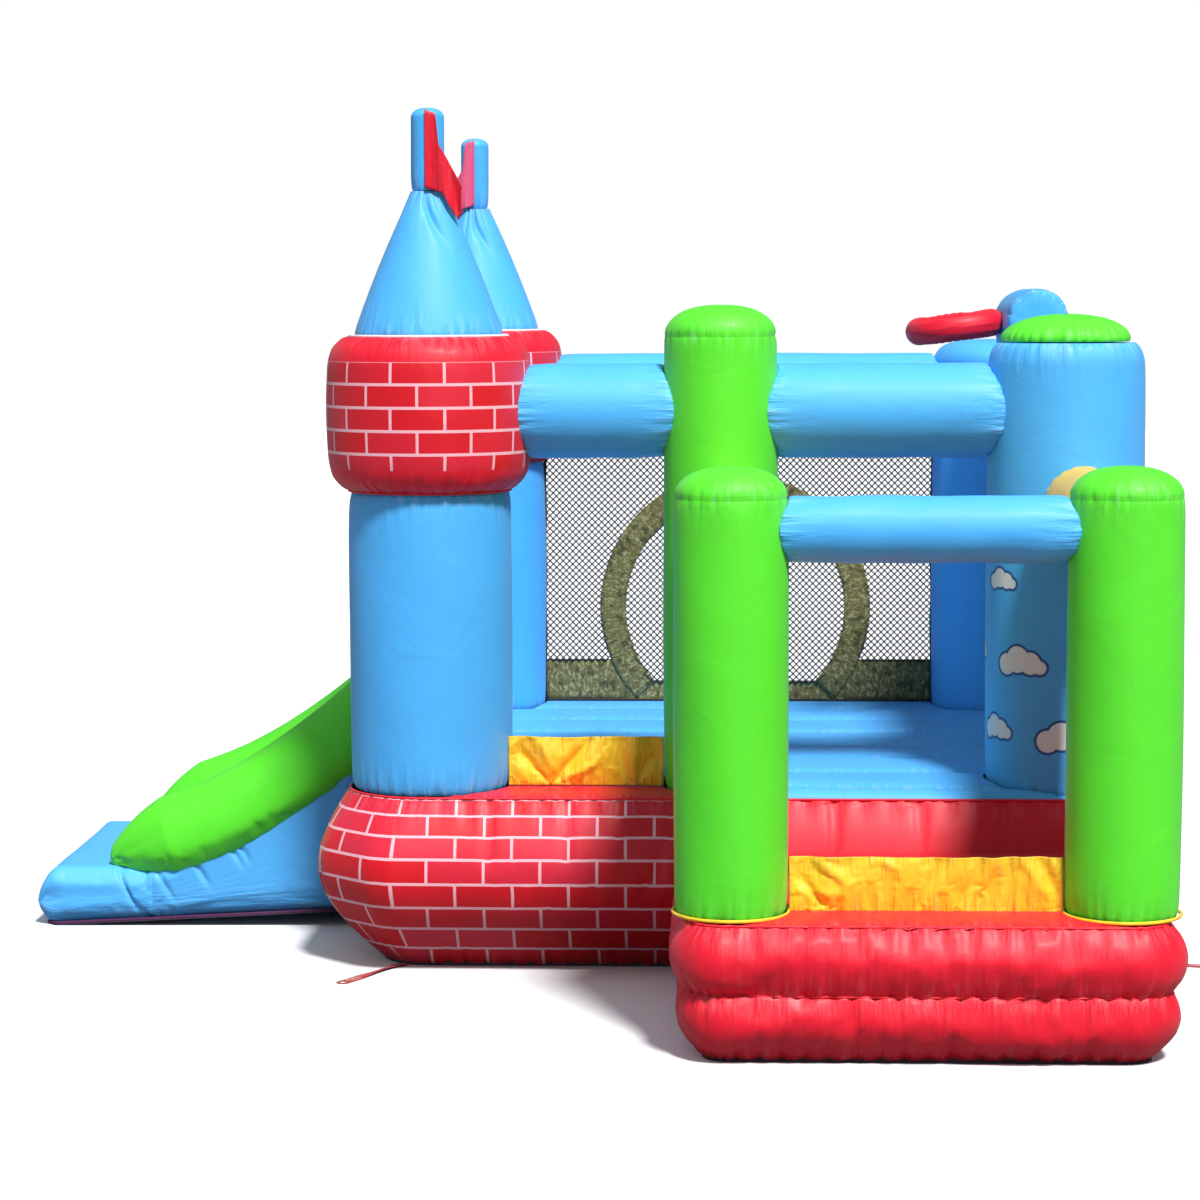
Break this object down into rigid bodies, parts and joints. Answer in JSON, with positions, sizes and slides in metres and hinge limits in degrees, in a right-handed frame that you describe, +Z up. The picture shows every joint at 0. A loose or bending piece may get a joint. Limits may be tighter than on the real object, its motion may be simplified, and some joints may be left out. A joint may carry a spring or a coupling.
{
  "type": "inflatable bounce house",
  "caption": "Inflatable castle bounce house with netted walls, conical corner towers, a side slide, a railed porch, a basketball hoop and an air blower.",
  "frame": {"origin": "centre of the main base's underside, on the ground", "axes": "+Z up, +X towards the basketball side, +Y towards the blower at the back"},
  "size_m": [3.8117, 4.582, 2.652],
  "materials": {
    "grey_sheet": "coated heavy sheet",
    "brick_print": "coated woven cloth with a brick print",
    "red_fabric": "coated woven cloth, soft sheen",
    "sky_fabric": "coated woven cloth, soft sheen",
    "blue_fabric": "coated woven cloth, soft sheen",
    "green_fabric": "coated woven cloth, soft sheen",
    "yellow_fabric": "coated woven cloth, soft sheen",
    "khaki_fabric": "coated woven cloth",
    "white_fabric": "plain woven cloth",
    "black_net": "knotless net, see-through",
    "red_webbing": "woven webbing",
    "black_webbing": "woven webbing",
    "zip_tape": "woven tape",
    "zip_metal": "satin",
    "blower_shell": "fine moulded texture",
    "motor_metal": "satin",
    "impeller_plastic": "satin",
    "guard_wire": "satin",
    "switch_plastic": "gloss",
    "grip_plastic": "fine moulded texture",
    "cable_rubber": "matt"
  },
  "bodies": {
    "house": {"ground_sheet": "grey_sheet", "base_wall": "brick_print", "jump_floor": "sky_fabric", "floor_baffles": "white_fabric", "front_left_column": "sky_fabric", "front_left_crown": "brick_print", "front_left_cone": "sky_fabric", "front_left_finial": "blue_fabric", "back_left_column": "sky_fabric", "back_left_crown": "brick_print", "back_left_cone": "sky_fabric", "back_left_finial": "blue_fabric", "middle_column": "green_fabric", "front_right_column": "sky_fabric", "front_right_cap": "green_fabric", "back_right_column": "blue_fabric", "front_left_rail": "sky_fabric", "front_right_rail": "sky_fabric", "back_rail": "sky_fabric", "left_rail": "sky_fabric", "right_rail": "sky_fabric", "back_mesh": "black_net", "back_mesh_bands": "khaki_fabric", "right_mesh": "black_net", "doorway_meshes": "black_net", "entry_threshold": "yellow_fabric", "hoop_backboard": "sky_fabric", "hoop_ring": "red_fabric", "porch_base": "red_fabric", "porch_floor": "red_fabric", "porch_left_column": "green_fabric", "porch_right_column": "green_fabric", "porch_front_rail": "sky_fabric", "porch_side_rails": "yellow_fabric", "porch_side_meshes": "black_net", "porch_threshold": "yellow_fabric", "slide_ramp": "blue_fabric", "landing_pad": "blue_fabric", "slide_lane": "sky_fabric", "front_bolster": "green_fabric", "back_bolster": "green_fabric", "deflate_zip_tape": "zip_tape", "inlet_sleeve": "red_fabric", "sleeve_strap": "black_webbing", "blower_inlet_shell": "blower_shell", "blower_motor_shell": "blower_shell", "blower_motor": "motor_metal", "blower_inlet_guard": "guard_wire", "blower_handle": "grip_plastic", "blower_cable": "cable_rubber"},
    "front_flag": {"front_flag": "red_fabric"},
    "back_flag": {"back_flag": "red_fabric"},
    "anchor_strap_front_left": {"anchor_strap_front_left": "red_webbing"},
    "anchor_strap_back_left": {"anchor_strap_back_left": "red_webbing"},
    "anchor_strap_back_right": {"anchor_strap_back_right": "red_webbing"},
    "anchor_strap_front_right": {"anchor_strap_front_right": "red_webbing"},
    "deflate_zip_slider": {"deflate_zip_slider": "zip_metal"},
    "deflate_zip_pull": {"deflate_zip_pull": "zip_metal"},
    "blower_impeller": {"blower_impeller": "impeller_plastic"},
    "blower_switch": {"blower_switch": "switch_plastic"}
  },
  "joints": [
    {"name": "front_flag_swing", "type": "hinge", "parent": "house", "child": "front_flag", "pos_m": [-0.985, -0.982, 2.5], "axis": [0, 0, 1], "range_deg": [-150, 12]},
    {"name": "back_flag_swing", "type": "hinge", "parent": "house", "child": "back_flag", "pos_m": [-0.985, 0.868, 2.5], "axis": [0, 0, 1], "range_deg": [-12, 150]},
    {"name": "strap_front_left_lift", "type": "hinge", "parent": "house", "child": "anchor_strap_front_left", "pos_m": [-1.064, -1.06183, 0.0015], "axis": [-0.866, 0.5, 0], "range_deg": [0, 35]},
    {"name": "strap_back_left_lift", "type": "hinge", "parent": "house", "child": "anchor_strap_back_left", "pos_m": [-1.09672, 1.03672, 0.0015], "axis": [0.7071, 0.7071, 0], "range_deg": [0, 35]},
    {"name": "strap_back_right_lift", "type": "hinge", "parent": "house", "child": "anchor_strap_back_right", "pos_m": [1.09672, 1.03672, 0.0015], "axis": [0.7071, -0.7071, 0], "range_deg": [0, 35]},
    {"name": "strap_front_right_lift", "type": "hinge", "parent": "house", "child": "anchor_strap_front_right", "pos_m": [1.13762, -0.96589, 0.0015], "axis": [-0.2588, -0.9659, 0], "range_deg": [0, 35]},
    {"name": "zip_slide", "type": "slide", "parent": "house", "child": "deflate_zip_slider", "axis": [1, 0, 0], "range_m": [0, 0.38]},
    {"name": "pull_swing", "type": "hinge", "parent": "deflate_zip_slider", "child": "deflate_zip_pull", "pos_m": [-0.783, 1.288, 0.3], "axis": [0, 0, 1], "range_deg": [0, 150]},
    {"name": "impeller_spin", "type": "hinge", "parent": "house", "child": "blower_impeller", "pos_m": [0.48, 1.985, 0.215], "axis": [1, 0, 0], "continuous": true},
    {"name": "switch_rock", "type": "hinge", "parent": "house", "child": "blower_switch", "pos_m": [0.566, 2.025, 0.31], "axis": [0, 1, 0], "range_deg": [0, 18]}
  ]
}
